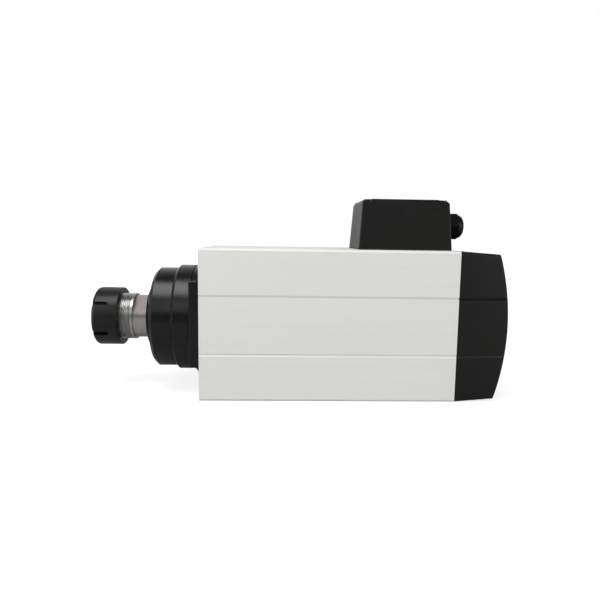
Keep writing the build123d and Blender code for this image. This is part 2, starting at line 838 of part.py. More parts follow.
# Collet nut: slotted round nut with the closing cone and the extractor groove
cone_gap = running / math.cos(math.radians(head_angle))
nut_mouth = collet_face_radius - collet_recess * head_slope + cone_gap
extractor_front = groove_front + (collet_groove_width - extractor_width) / 2
extractor_back = extractor_front + extractor_width
slot_bed = nut_radius - nut_slot_depth
with BuildPart() as collet_nut:
    ring(nut_front, nut_back, nut_radius, 0)
    fillet(rim(collet_nut, 0), nut_front_round)
    chamfer(rim(collet_nut, -1), nut_rear_chamfer)
    turn([
        (nut_front, 0),
        (nut_front, nut_mouth),
        (groove_front, nut_mouth + (groove_front - nut_front) * head_slope),
        (extractor_front - running, nut_mouth + (groove_front - nut_front) * head_slope),
        (extractor_front - running, extractor_radius + running),
        (extractor_back + running, extractor_radius + running),
        (extractor_back + running, collet_radius + loose),
        (shaft_front - loose, collet_radius + loose),
        (shaft_front - loose, thread_radius + running),
        (nut_back, thread_radius + running),
        (nut_back, 0),
    ], Mode.SUBTRACT)
    chamfer(rim(collet_nut, -1, False), nut_thread_chamfer)
    for index in range(nut_slot_count):
        turned = nut_slot_turn + index * 360 / nut_slot_count
        outward = (0, math.cos(math.radians(turned)), math.sin(math.radians(turned)))
        with BuildSketch(Plane(origin=(0, 0, 0), x_dir=(1, 0, 0), z_dir=outward).offset(slot_bed)) as slot:
            with Locations((nut_front, 0)):
                SlotOverall(2 * nut_slot_length, nut_slot_width)
        extrude(slot.sketch, amount=2 * nut_slot_depth, mode=Mode.SUBTRACT)
save(collet_nut, "collet_nut")

# Extractor ring: sits in the nut and pulls the collet out when the nut is undone
with BuildPart() as extractor_ring:
    ring(extractor_front, extractor_back, extractor_radius, collet_groove_radius + loose)
save(extractor_ring, "extractor_ring")


def box_form(inset):
    # The terminal box's drafted block, drawn in by an inset for the hollow.
    base = half_height + gasket_thickness
    with BuildPart() as form:
        with BuildSketch(Plane.XY.offset(base)):
            with Locations((box_centre, 0)):
                Rectangle(box_length - 2 * inset, box_width - 2 * inset)
        extrude(amount=box_height - inset, taper=box_draft)
        chamfer(form.faces().sort_by(Axis.Z)[-1].edges(), box_chamfer)
        fillet(form.edges().filter_by(lambda edge: abs(edge.tangent_at(0.5).Z) > 0.95), box_edge_round)
    return form.part


# Terminal box cover, with four screw posts and the gland hole
gland_z = half_height + gland_height
gland_face = box_back - (gland_height - gasket_thickness) * math.tan(math.radians(box_draft))
with BuildPart() as terminal_cover:
    add(box_form(0))
    add(box_form(box_wall), mode=Mode.SUBTRACT)
    with BuildSketch(Plane.XY.offset(half_height + gasket_thickness)):
        with Locations(*box_points):
            Circle(box_post_radius)
    extrude(amount=box_height - box_wall / 2)
    with Locations(Plane.XY.offset(box_top)):
        with Locations(*box_points):
            CounterBoreHole(m4[0] + loose, m4[1] + loose, m4[2] + head_recess, box_height)
    with BuildSketch(across(gland_face - 2 * box_wall)):
        with Locations((0, gland_z)):
            Circle(gland_thread_radius + loose)
    extrude(amount=3 * box_wall, mode=Mode.SUBTRACT)
    with BuildSketch(across(gland_face)):
        with Locations((0, gland_z)):
            Circle(gland_flats / 2 + box_land_rim)
    extrude(amount=box_land_depth, mode=Mode.SUBTRACT)
save(terminal_cover, "terminal_cover")

with BuildPart() as terminal_gasket:
    with BuildSketch(Plane.XY.offset(half_height)):
        with Locations((box_centre, 0)):
            Rectangle(box_length - 2 * loose, box_width - 2 * loose)
            Rectangle(box_length - 2 * gasket_width, box_width - 2 * gasket_width, mode=Mode.SUBTRACT)
        with Locations(*box_points):
            Circle(box_post_radius)
            Circle(m4[0] + loose, mode=Mode.SUBTRACT)
    extrude(amount=gasket_thickness)
save(terminal_gasket, "terminal_gasket")


def upright_screw(points, head_top, sizes, length):
    # Socket head screws along Z, driven from above.
    thread, head, height = sizes
    with BuildSketch(Plane.XY.offset(head_top)) as heads:
        with Locations(*points):
            Circle(head)
    extrude(heads.sketch, amount=-height)
    with BuildSketch(Plane.XY.offset(head_top - height)) as shanks:
        with Locations(*points):
            Circle(thread)
    extrude(shanks.sketch, amount=height - length)
    with BuildSketch(Plane.XY.offset(head_top)) as sockets:
        with Locations(*points):
            RegularPolygon(thread * socket_share, 6)
    extrude(sockets.sketch, amount=-height * socket_depth_share, mode=Mode.SUBTRACT)


with BuildPart() as terminal_cover_screws:
    box_head = box_top - head_recess
    upright_screw(box_points, box_head, m4, box_head - half_height + screw_bite / 2 - loose)
save(terminal_cover_screws, "terminal_cover_screws")

with BuildPart() as earth_screw:
    upright_screw([earth_point], half_height + m4[2], m4, m4[2] + screw_bite / 2 - loose)
save(earth_screw, "earth_screw")

# Terminal block with its studs
stud_points = [
    (terminal_x + row * terminal_row_gap / 2, column * terminal_pitch)
    for row in (-1, 1) for column in (-1, 0, 1)
]
with BuildPart() as terminal_block:
    with BuildSketch(Plane.XY.offset(half_height)):
        with Locations((terminal_x, 0)):
            RectangleRounded(terminal_length, terminal_width, block_corner_radius)
    extrude(amount=terminal_height)
    with BuildSketch(Plane.XY.offset(half_height + terminal_height)):
        with Locations(*[(terminal_x, side * terminal_pitch / 2) for side in (-1, 1)]):
            Rectangle(terminal_length, barrier_thickness)
    extrude(amount=barrier_height)
    with BuildSketch(Plane.XY.offset(half_height + terminal_height)):
        with Locations(*stud_points):
            Circle(m4[0] + seat)
    extrude(amount=-terminal_height / 2, mode=Mode.SUBTRACT)
save(terminal_block, "terminal_block")

with BuildPart() as terminal_studs:
    stud_base = half_height + terminal_height / 2
    with BuildSketch(Plane.XY.offset(stud_base)):
        with Locations(*stud_points):
            Circle(m4[0])
    extrude(amount=stud_height + terminal_height / 2)
    with BuildSketch(Plane.XY.offset(half_height + terminal_height)):
        with Locations(*stud_points):
            RegularPolygon(stud_nut_flats / 2, 6, major_radius=False)
    extrude(amount=stud_nut_height)
save(terminal_studs, "terminal_studs")

# Motor leads: from the rear end turn, up through the body, to the rear row of studs
lead_level = half_height + terminal_height + stud_nut_height + lead_radius + loose
lead_end = terminal_x + terminal_row_gap / 2 + m4[0] + lead_end_gap
with BuildPart() as motor_leads:
    for column in (-1, 0, 1):
        with BuildLine() as route:
            FilletPolyline(
                (lead_x, column * lead_hole_radius / 2, slot_centre + stator_slot_depth / 2 + lead_start_gap),
                (lead_x, column * lead_hole_radius / 2, lead_level),
                (lead_end, column * terminal_pitch, lead_level),
                radius=lead_bend,
            )
        with BuildSketch(Plane(origin=route.line @ 0, z_dir=route.line % 0)) as section:
            Circle(lead_radius)
        sweep(section.sketch, path=route.line)
save(motor_leads, "motor_leads")

# Cable gland: body through the box wall, clamping nut, seal, washer and locknut
gland_flange_back = gland_face + gland_washer + gland_flange
gland_end = gland_flange_back + gland_nut_length
gland_inside = gland_face - box_wall - gland_inside_length


def gland_ring(front, back, outer, inner, mode=Mode.ADD):
    # A round ring on the gland's own axis.
    with BuildSketch(across(front)) as section:
        with Locations((0, gland_z)):
            Circle(outer)
            Circle(inner, mode=Mode.SUBTRACT)
    extrude(section.sketch, amount=back - front, mode=mode)


def gland_hexagon(front, back, inner):
    # A hexagon on the gland's own axis, with corners to the sides.
    with BuildSketch(across(front)) as section:
        with Locations((0, gland_z)):
            RegularPolygon(gland_flats / 2, 6, major_radius=False)
            Circle(inner, mode=Mode.SUBTRACT)
    extrude(section.sketch, amount=back - front)


with BuildPart() as gland_body:
    gland_ring(gland_inside, gland_flange_back + gland_engagement, gland_thread_radius, gland_seal_radius)
    gland_hexagon(gland_face + gland_washer, gland_flange_back, gland_seal_radius)
save(gland_body, "gland_body")

with BuildPart() as gland_gasket:
    gland_ring(gland_face, gland_face + gland_washer, gland_flats / 2, gland_thread_radius + seat)
save(gland_gasket, "gland_gasket")

with BuildPart() as gland_locknut:
    locknut_back = gland_face - box_wall - gland_flats * 0.6 * math.tan(math.radians(box_draft))
    gland_hexagon(locknut_back - gland_locknut_length, locknut_back, gland_thread_radius + seat)
save(gland_locknut, "gland_locknut")

with BuildPart() as gland_nut:
    gland_hexagon(gland_flange_back, gland_end - gland_dome_length, gland_thread_radius + running)
    with BuildSketch(Plane.XZ):
        with BuildLine():
            Polyline(
                (gland_end - gland_dome_length, gland_z + gland_thread_radius + running),
                (gland_end - gland_dome_length, gland_z + gland_flats / 2 - gland_dome_shoulder),
            )
            EllipticalCenterArc(
                (gland_end - gland_dome_length, gland_z + gland_bore + gland_dome_land),
                gland_dome_length, gland_flats / 2 - gland_dome_shoulder - gland_bore - gland_dome_land,
                arc_size=quarter_turn,
            )
            Polyline(
                (gland_end, gland_z + gland_bore + gland_dome_land),
                (gland_end, gland_z + gland_bore),
                (gland_end - gland_lip, gland_z + gland_bore),
                (gland_end - gland_lip - gland_lip_cone, gland_z + gland_thread_radius + running),
                (gland_end - gland_dome_length, gland_z + gland_thread_radius + running),
            )
        make_face()
    revolve(axis=Axis((0, 0, gland_z), (1, 0, 0)))
save(gland_nut, "gland_nut")

with BuildPart() as gland_seal:
    gland_ring(gland_flange_back + gland_washer, gland_end - gland_lip - gland_lip_cone,
               gland_seal_radius - seat, gland_bore)
save(gland_seal, "gland_seal")
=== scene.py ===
import json
import math
import bmesh
import bpy
from mathutils import Matrix, Vector


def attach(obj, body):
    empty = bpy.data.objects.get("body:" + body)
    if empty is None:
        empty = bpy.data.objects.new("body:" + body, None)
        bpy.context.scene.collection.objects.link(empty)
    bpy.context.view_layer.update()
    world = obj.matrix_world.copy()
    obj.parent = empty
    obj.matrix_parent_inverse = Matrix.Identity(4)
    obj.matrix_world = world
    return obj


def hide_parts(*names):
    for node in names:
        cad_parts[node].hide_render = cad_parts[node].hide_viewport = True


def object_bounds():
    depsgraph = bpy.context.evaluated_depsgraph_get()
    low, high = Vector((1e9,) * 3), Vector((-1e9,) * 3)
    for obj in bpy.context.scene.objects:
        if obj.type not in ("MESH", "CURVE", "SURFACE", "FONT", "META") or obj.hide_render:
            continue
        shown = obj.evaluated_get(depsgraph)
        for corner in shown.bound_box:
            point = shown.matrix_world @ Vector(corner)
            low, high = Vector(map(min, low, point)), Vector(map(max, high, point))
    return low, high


# Looks of the motor spindle. Lengths are in metres, in the same frame as the CAD:
# X runs from the nose to the tail, Z up to the terminal box, the camera stands on the -Y side.

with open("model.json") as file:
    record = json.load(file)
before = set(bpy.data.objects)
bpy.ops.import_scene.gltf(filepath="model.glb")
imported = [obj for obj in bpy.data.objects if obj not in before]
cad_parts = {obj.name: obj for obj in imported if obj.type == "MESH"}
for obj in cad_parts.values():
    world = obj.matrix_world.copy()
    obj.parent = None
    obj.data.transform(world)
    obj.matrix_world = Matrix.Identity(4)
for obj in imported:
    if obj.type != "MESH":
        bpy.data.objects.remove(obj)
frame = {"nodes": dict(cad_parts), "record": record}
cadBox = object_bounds()
print("frame loaded")


def addNode(tree, kind, inputs=None, **settings):
    node = tree.nodes.new(kind)
    for key, value in settings.items():
        setattr(node, key, value)
    for key, value in (inputs or {}).items():
        setSocket(tree, node.inputs[key], value)
    return node


def setSocket(tree, socket, value):
    if isinstance(value, bpy.types.NodeSocket):
        tree.links.new(value, socket)
    elif socket.type == "RGBA":
        socket.default_value = (*value[:3], 1.0)
    else:
        socket.default_value = value


def doMath(tree, operation, first, second=0.0):
    return addNode(tree, "ShaderNodeMath", {0: first, 1: second}, operation=operation).outputs[0]


def doVector(tree, operation, first, second):
    return addNode(tree, "ShaderNodeVectorMath", {0: first, 1: second}, operation=operation).outputs


def scaled(tree, value, share):
    return doMath(tree, "MULTIPLY", value, share)


def spread(tree, value, low, high, outLow=0.0, outHigh=1.0):
    # Remaps low..high to outLow..outHigh with soft ends.
    node = addNode(tree, "ShaderNodeMapRange", interpolation_type="SMOOTHSTEP",
                   inputs={"Value": value, "From Min": low, "From Max": high, "To Min": outLow, "To Max": outHigh})
    return node.outputs["Result"]


def blendColour(tree, mask, first, second):
    return addNode(tree, "ShaderNodeMix", {0: mask, 6: first, 7: second}, data_type="RGBA").outputs[2]


def mixFloat(tree, mask, first, second):
    return addNode(tree, "ShaderNodeMix", {0: mask, 2: first, 3: second}, data_type="FLOAT").outputs[0]


def newGroup(name, inputs, outputs):
    group = bpy.data.node_groups.new(name, "ShaderNodeTree")
    for label, kind in inputs:
        group.interface.new_socket(name=label, in_out="INPUT", socket_type=kind)
    for label in outputs:
        group.interface.new_socket(name=label, in_out="OUTPUT", socket_type="NodeSocketFloat")
    return group, group.nodes.new("NodeGroupInput").outputs, group.nodes.new("NodeGroupOutput").inputs


def placeGroup(tree, group, **inputs):
    node = tree.nodes.new("ShaderNodeGroup")
    node.node_tree = group
    for key, value in inputs.items():
        setSocket(tree, node.inputs[key], value)
    return node.outputs


# Effects that several finishes share

floatSocket = "NodeSocketFloat"
vectorSocket = "NodeSocketVector"

grainLook = {"detail": 4.0, "roughness": 0.62, "speckleScale": 0.31, "speckleDetail": 2.0,
             "speckleRange": (0.56, 0.72)}
streakLook = {"detail": 5.0, "roughness": 0.7, "wide": (0.35, 0.09, 0.09), "softDetail": 2.0,
              "softRange": (0.3, 0.7)}
turnedLook = {"detail": 3.0, "roughness": 0.7}
edgeLook = {"samples": 4, "turnRange": (0.03, 0.3), "patchScale": 520.0, "patchDetail": 3.0,
            "patchRange": (0.35, 0.65)}
handlingLook = {"scale": 24.0, "detail": 5.0, "roughness": 0.6, "distortion": 0.4, "patchRange": (0.3, 0.7),
                "upwardRange": (0.2, 1.0), "dustRange": (0.4, 0.75)}


def makeGrainGroup(look):
    # Fine all-over grain: a height for the bump and a sparse speckle mask.
    group, entry, leave = newGroup("grain", [("Position", vectorSocket), ("Scale", floatSocket)],
                                   ["Height", "Speckle"])
    fine = addNode(group, "ShaderNodeTexNoise",
                   {"Vector": entry["Position"], "Scale": entry["Scale"],
                    "Detail": look["detail"], "Roughness": look["roughness"]})
    group.links.new(fine.outputs["Fac"], leave["Height"])
    coarse = addNode(group, "ShaderNodeTexNoise",
                     {"Vector": entry["Position"], "Scale": scaled(group, entry["Scale"], look["speckleScale"]),
                      "Detail": look["speckleDetail"]})
    group.links.new(spread(group, coarse.outputs["Fac"], *look["speckleRange"]), leave["Speckle"])
    return group


def makeStreakGroup(look):
    # Long streaks: the position is stretched first, so the streaks run along its short axis.
    group, entry, leave = newGroup("streaks", [("Position", vectorSocket), ("Stretch", vectorSocket)],
                                   ["Height", "Soft"])
    stretched = doVector(group, "MULTIPLY", entry["Position"], entry["Stretch"])[0]
    fine = addNode(group, "ShaderNodeTexNoise",
                   {"Vector": stretched, "Scale": 1.0, "Detail": look["detail"], "Roughness": look["roughness"]})
    group.links.new(fine.outputs["Fac"], leave["Height"])
    wide = doVector(group, "MULTIPLY", stretched, look["wide"])[0]
    soft = addNode(group, "ShaderNodeTexNoise", {"Vector": wide, "Scale": 1.0, "Detail": look["softDetail"]})
    group.links.new(spread(group, soft.outputs["Fac"], *look["softRange"]), leave["Soft"])
    return group


def makeTurnedGroup(look):
    # Lathe marks round the spindle axis: lines along X on a cylinder and rings on an end face.
    group, entry, leave = newGroup("turned", [("Position", vectorSocket), ("Lines", floatSocket)], ["Height"])
    along, across, upward = addNode(group, "ShaderNodeSeparateXYZ", {0: entry["Position"]}).outputs
    squares = doMath(group, "ADD", doMath(group, "MULTIPLY", across, across),
                     doMath(group, "MULTIPLY", upward, upward))
    radius = doMath(group, "POWER", squares, 0.5)
    travel = doMath(group, "MULTIPLY", doMath(group, "ADD", along, radius), entry["Lines"])
    line = addNode(group, "ShaderNodeTexNoise",
                   {"W": travel, "Scale": 1.0, "Detail": look["detail"], "Roughness": look["roughness"]},
                   noise_dimensions="1D")
    group.links.new(line.outputs["Fac"], leave["Height"])
    return group


def makeEdgeGroup(look):
    # A mask of the rubbed outer edges, broken up by noise.
    group, entry, leave = newGroup("rubbedEdges", [("Position", vectorSocket), ("Reach", floatSocket)], ["Mask"])
    rounded = addNode(group, "ShaderNodeBevel", {"Radius": entry["Reach"]}, samples=look["samples"])
    surface = addNode(group, "ShaderNodeNewGeometry")
    agree = doVector(group, "DOT_PRODUCT", rounded.outputs[0], surface.outputs["Normal"])["Value"]
    turnAway = spread(group, doMath(group, "SUBTRACT", 1.0, agree), *look["turnRange"])
    patches = addNode(group, "ShaderNodeTexNoise",
                      {"Vector": entry["Position"], "Scale": look["patchScale"], "Detail": look["patchDetail"]})
    broken = spread(group, patches.outputs["Fac"], *look["patchRange"])
    group.links.new(doMath(group, "MULTIPLY", turnAway, broken), leave["Mask"])
    return group


def makeHandlingGroup(look):
    # Broad patches where dust and handling make a finish duller or shinier.
    group, entry, leave = newGroup("handling",
                                   [("Position", vectorSocket), ("Low", floatSocket), ("High", floatSocket)],
                                   ["Roughness", "Dust"])
    patches = addNode(group, "ShaderNodeTexNoise",
                      {"Vector": entry["Position"], "Scale": look["scale"], "Detail": look["detail"],
                       "Roughness": look["roughness"], "Distortion": look["distortion"]}).outputs["Fac"]
    group.links.new(spread(group, patches, *look["patchRange"], entry["Low"], entry["High"]), leave["Roughness"])
    surface = addNode(group, "ShaderNodeNewGeometry")
    upward = addNode(group, "ShaderNodeSeparateXYZ", {0: surface.outputs["Normal"]}).outputs[2]
    settled = doMath(group, "MULTIPLY", spread(group, upward, *look["upwardRange"]),
                     spread(group, patches, *look["dustRange"]))
    group.links.new(settled, leave["Dust"])
    return group


grainGroup = makeGrainGroup(grainLook)
streakGroup = makeStreakGroup(streakLook)
turnedGroup = makeTurnedGroup(turnedLook)
edgeGroup = makeEdgeGroup(edgeLook)
handlingGroup = makeHandlingGroup(handlingLook)
print("shared effects made")


def findShader(tree):
    return next(node for node in tree.nodes if node.type == "BSDF_PRINCIPLED")


def startMaterial(name, look):
    material = bpy.data.materials.new(name)
    material.use_nodes = True
    tree = material.node_tree
    shader = findShader(tree)
    shader.inputs["Metallic"].default_value = look.get("metallic", 0.0)
    shader.inputs["Specular IOR Level"].default_value = look.get("specular", 0.5)
    position = addNode(tree, "ShaderNodeTexCoord").outputs["Object"]
    return material, tree, shader, position


def placeHandling(tree, position, look):
    low, high = look["rough"]
    return placeGroup(tree, handlingGroup, Position=position, Low=low, High=high)


def addBump(tree, shader, height, depth):
    bump = addNode(tree, "ShaderNodeBump", {"Height": height, "Distance": depth, "Strength": 1.0})
    tree.links.new(bump.outputs[0], shader.inputs["Normal"])


# Body: extruded aluminium, brushed lengthwise and anodised

bodyLook = {"colour": (0.685, 0.683, 0.656), "shade": (0.662, 0.660, 0.636), "edge": (0.80, 0.80, 0.78),
            "metallic": 0.12, "specular": 0.25, "rough": (0.48, 0.58),
            "stretch": (14.0, 2600.0, 2600.0), "lineRange": (0.3, 0.7),
            "grain": 5200.0, "grainShare": 0.8, "depth": 0.000012, "edgeReach": 0.0006}


def makeAnodised(name, look):
    material, tree, shader, position = startMaterial(name, look)
    streaks = placeGroup(tree, streakGroup, Position=position, Stretch=look["stretch"])
    grain = placeGroup(tree, grainGroup, Position=position, Scale=look["grain"])
    handling = placeHandling(tree, position, look)
    edges = placeGroup(tree, edgeGroup, Position=position, Reach=look["edgeReach"])
    streaked = blendColour(tree, streaks["Soft"], look["shade"], look["colour"])
    fineLines = blendColour(tree, spread(tree, streaks["Height"], *look["lineRange"]), streaked, look["colour"])
    setSocket(tree, shader.inputs["Base Color"], blendColour(tree, edges["Mask"], fineLines, look["edge"]))
    setSocket(tree, shader.inputs["Roughness"], handling["Roughness"])
    height = doMath(tree, "ADD", streaks["Height"], scaled(tree, grain["Height"], look["grainShare"]))
    addBump(tree, shader, height, look["depth"])
    return material


# Coated and moulded pieces: the nose, the cap with the terminal box, plastic, rubber and the inner block and leads

noseLook = {"colour": (0.0016, 0.0017, 0.0022), "worn": (0.015, 0.015, 0.018), "dust": (0.011, 0.011, 0.013),
            "rough": (0.26, 0.31), "specular": 0.38, "grain": 2600.0, "depth": 0.000025,
            "edgeReach": 0.0006, "dustShare": 0.10}
coverLook = {"colour": (0.0030, 0.0032, 0.0025), "worn": (0.018, 0.018, 0.016), "dust": (0.018, 0.018, 0.016),
             "rough": (0.38, 0.45), "specular": 0.28, "grain": 3400.0, "depth": 0.00004,
             "edgeReach": 0.0005, "dustShare": 0.15}
plasticLook = {"colour": (0.0040, 0.0040, 0.0044), "worn": (0.014, 0.014, 0.015), "dust": (0.03, 0.03, 0.03),
               "rough": (0.36, 0.44), "specular": 0.15, "grain": 1500.0, "depth": 0.00002,
               "edgeReach": 0.0003, "dustShare": 0.08}
rubberLook = {"colour": (0.012, 0.012, 0.012), "worn": (0.022, 0.022, 0.022), "dust": (0.07, 0.07, 0.07),
              "rough": (0.66, 0.82), "grain": 2200.0, "depth": 0.00005, "edgeReach": 0.0003, "dustShare": 0.2}
blockLook = {"colour": (0.62, 0.57, 0.46), "worn": (0.70, 0.66, 0.56), "dust": (0.5, 0.48, 0.42),
             "rough": (0.42, 0.52), "grain": 1800.0, "depth": 0.00003, "edgeReach": 0.0003, "dustShare": 0.1}
leadLook = {"colour": (0.50, 0.045, 0.030), "worn": (0.56, 0.08, 0.05), "dust": (0.4, 0.12, 0.1),
            "rough": (0.45, 0.60), "grain": 3000.0, "depth": 0.00004, "edgeReach": 0.0002, "dustShare": 0.1}
coatShares = {"speckle": 0.3, "edges": 0.5}


def makeCoated(name, look):
    material, tree, shader, position = startMaterial(name, look)
    grain = placeGroup(tree, grainGroup, Position=position, Scale=look["grain"])
    handling = placeHandling(tree, position, look)
    edges = placeGroup(tree, edgeGroup, Position=position, Reach=look["edgeReach"])
    speckle = scaled(tree, grain["Speckle"], coatShares["speckle"])
    speckled = blendColour(tree, speckle, look["colour"], look["worn"])
    dusty = blendColour(tree, scaled(tree, handling["Dust"], look["dustShare"]), speckled, look["dust"])
    worn = blendColour(tree, scaled(tree, edges["Mask"], coatShares["edges"]), dusty, look["worn"])
    setSocket(tree, shader.inputs["Base Color"], worn)
    setSocket(tree, shader.inputs["Roughness"], handling["Roughness"])
    addBump(tree, shader, grain["Height"], look["depth"])
    return material


# Turned metals: the oxide-black nut and screws, the ground spindle, bearing rings and brass

oxideLook = {"colour": (0.0036, 0.0037, 0.0043), "bare": (0.055, 0.055, 0.060), "metallic": 0.0,
             "specular": 0.35, "rough": (0.32, 0.40), "lines": 5200.0, "lineDepth": 0.000007,
             "grain": 2400.0, "edgeReach": 0.0004, "edgeShare": 0.55}
steelLook = {"colour": (0.46, 0.45, 0.44), "bare": (0.58, 0.58, 0.57), "metallic": 1.0, "rough": (0.29, 0.34),
             "lines": 4200.0, "lineDepth": 0.000010, "grain": 1800.0, "edgeReach": 0.0003, "edgeShare": 0.6}
zincLook = {"colour": (0.62, 0.62, 0.61), "bare": (0.74, 0.74, 0.73), "metallic": 1.0, "rough": (0.28, 0.40),
            "lines": 2600.0, "lineDepth": 0.000006, "grain": 2600.0, "edgeReach": 0.0002, "edgeShare": 0.4}
bearingLook = {"colour": (0.66, 0.66, 0.665), "bare": (0.74, 0.74, 0.74), "metallic": 1.0,
               "rough": (0.08, 0.14), "lines": 6000.0, "lineDepth": 0.000002,
               "grain": 1500.0, "edgeReach": 0.0002, "edgeShare": 0.3}
brassLook = {"colour": (0.74, 0.53, 0.22), "bare": (0.82, 0.64, 0.32), "metallic": 1.0, "rough": (0.24, 0.34),
             "lines": 3000.0, "lineDepth": 0.000005, "grain": 2000.0, "edgeReach": 0.0002, "edgeShare": 0.4}
turnedShares = {"speckle": 0.12, "grain": 0.35, "lineRange": (0.3, 0.7), "lineRough": (-0.04, 0.06)}


def makeTurned(name, look):
    material, tree, shader, position = startMaterial(name, look)
    turned = placeGroup(tree, turnedGroup, Position=position, Lines=look["lines"])
    grain = placeGroup(tree, grainGroup, Position=position, Scale=look["grain"])
    handling = placeHandling(tree, position, look)
    edges = placeGroup(tree, edgeGroup, Position=position, Reach=look["edgeReach"])
    speckle = scaled(tree, grain["Speckle"], turnedShares["speckle"])
    spotted = blendColour(tree, speckle, look["colour"], look["bare"])
    edged = blendColour(tree, scaled(tree, edges["Mask"], look["edgeShare"]), spotted, look["bare"])
    setSocket(tree, shader.inputs["Base Color"], edged)
    lineRough = spread(tree, turned["Height"], *turnedShares["lineRange"], *turnedShares["lineRough"])
    setSocket(tree, shader.inputs["Roughness"], doMath(tree, "ADD", handling["Roughness"], lineRough))
    height = doMath(tree, "ADD", turned["Height"], scaled(tree, grain["Height"], turnedShares["grain"]))
    addBump(tree, shader, height, look["lineDepth"])
    return material


# The spindle's own steel adds the rough ground finish of the two wrench flats

flatLook = {"turn": -50.0, "from": -0.0517, "to": -0.0400, "margin": 0.0001, "facingRange": (0.9990, 0.9998),
            "colour": (0.33, 0.293, 0.277), "spot": (0.22, 0.19, 0.18), "rough": 0.55,
            "mottle": 1500.0, "mottleRange": (0.38, 0.62)}


def makeSpindleSteel(name, look, flats):
    material = makeTurned(name, look)
    tree = material.node_tree
    shader = findShader(tree)
    coords = addNode(tree, "ShaderNodeTexCoord").outputs
    angle = math.radians(flats["turn"])
    facing = doVector(tree, "DOT_PRODUCT", coords["Normal"], (0.0, math.cos(angle), math.sin(angle)))["Value"]
    flatness = spread(tree, doMath(tree, "ABSOLUTE", facing), *flats["facingRange"])
    along = addNode(tree, "ShaderNodeSeparateXYZ", {0: coords["Object"]}).outputs[0]
    inside = doMath(tree, "MULTIPLY", doMath(tree, "GREATER_THAN", along, flats["from"] - flats["margin"]),
                    doMath(tree, "LESS_THAN", along, flats["to"] + flats["margin"]))
    mask = doMath(tree, "MULTIPLY", flatness, inside)
    mottle = placeGroup(tree, grainGroup, Position=coords["Object"], Scale=flats["mottle"])["Height"]
    ground = blendColour(tree, spread(tree, mottle, *flats["mottleRange"]), flats["spot"], flats["colour"])
    colour, rough = shader.inputs["Base Color"], shader.inputs["Roughness"]
    setSocket(tree, colour, blendColour(tree, mask, colour.links[0].from_socket, ground))
    setSocket(tree, rough, mixFloat(tree, mask, rough.links[0].from_socket, flats["rough"]))
    return material


# Inner metals that show only through the grille or with the covers off

castLook = {"colour": (0.52, 0.52, 0.51), "shade": (0.40, 0.40, 0.395), "metallic": 0.9, "rough": (0.42, 0.56),
            "grain": 900.0, "depth": 0.00009}
sheetLook = {"colour": (0.30, 0.31, 0.33), "shade": (0.13, 0.13, 0.14), "metallic": 0.8, "rough": (0.40, 0.50),
             "grain": 1600.0, "depth": 0.00006, "sheets": 2000.0}
wireLook = {"colour": (0.46, 0.17, 0.05), "shade": (0.22, 0.07, 0.02), "metallic": 0.35, "rough": (0.26, 0.36),
            "grain": 700.0, "depth": 0.00015, "sheets": 1100.0}
castShares = {"grain": 0.4, "colourRange": (0.3, 0.75)}


def makeCast(name, look):
    # Sand-cast surface, or with "sheets" the edges of stacked sheet or wound wire.
    material, tree, shader, position = startMaterial(name, look)
    height = placeGroup(tree, grainGroup, Position=position, Scale=look["grain"])["Height"]
    handling = placeHandling(tree, position, look)
    if "sheets" in look:
        lines = placeGroup(tree, turnedGroup, Position=position, Lines=look["sheets"])["Height"]
        height = doMath(tree, "ADD", scaled(tree, height, castShares["grain"]), lines)
    tone = spread(tree, height, *castShares["colourRange"])
    setSocket(tree, shader.inputs["Base Color"], blendColour(tree, tone, look["shade"], look["colour"]))
    setSocket(tree, shader.inputs["Roughness"], handling["Roughness"])
    addBump(tree, shader, height, look["depth"])
    return material


finishes = {
    "anodised_silver": makeAnodised("anodisedSilver", bodyLook),
    "black_housing": makeCoated("noseBlack", noseLook),
    "black_cover": makeCoated("coverBlack", coverLook),
    "black_plastic": makeCoated("mouldedBlack", plasticLook),
    "black_rubber": makeCoated("sealRubber", rubberLook),
    "block_plastic": makeCoated("terminalBlock", blockLook),
    "lead_rubber": makeCoated("leadSleeve", leadLook),
    "black_oxide": makeTurned("blackOxide", oxideLook),
    "ground_steel": makeSpindleSteel("groundSteel", steelLook, flatLook),
    "zinc_steel": makeTurned("zincSteel", zincLook),
    "bearing_steel": makeTurned("bearingSteel", bearingLook),
    "brass_cage": makeTurned("cageBrass", brassLook),
    "cast_aluminium": makeCast("castAluminium", castLook),
    "lamination": makeCast("laminations", sheetLook),
    "copper_winding": makeCast("windings", wireLook),
}
for part in frame["record"]["subparts"]:
    mesh = frame["nodes"][part["node"]].data
    mesh.materials.clear()
    mesh.materials.append(finishes[part["material_slot"]])
print("finishes made")


# Threaded spindle: the CAD spindle with its plain thread cylinder cut into a real screw thread

threadLook = {"front": -0.0739, "back": -0.0517, "radius": 0.020, "pitch": 0.0015, "land": 0.0016, "lead": 0.0012,
              "columns": 128, "profile": (0.0, 0.0, -0.00031, -0.00061, -0.00092, -0.00092, -0.00061, -0.00031),
              "match": 2e-5, "merge": 2e-7, "sharpAngle": 28.0}
weldReach = 1e-7  # points this near are one point


def shadeByAngle(mesh, degrees):
    work = bmesh.new()
    work.from_mesh(mesh)
    bmesh.ops.remove_doubles(work, verts=work.verts, dist=weldReach)
    for face in work.faces:
        face.smooth = True
    for edge in work.edges:
        edge.smooth = len(edge.link_faces) == 2 and edge.calc_face_angle(0.0) < math.radians(degrees)
    work.to_mesh(mesh)
    work.free()


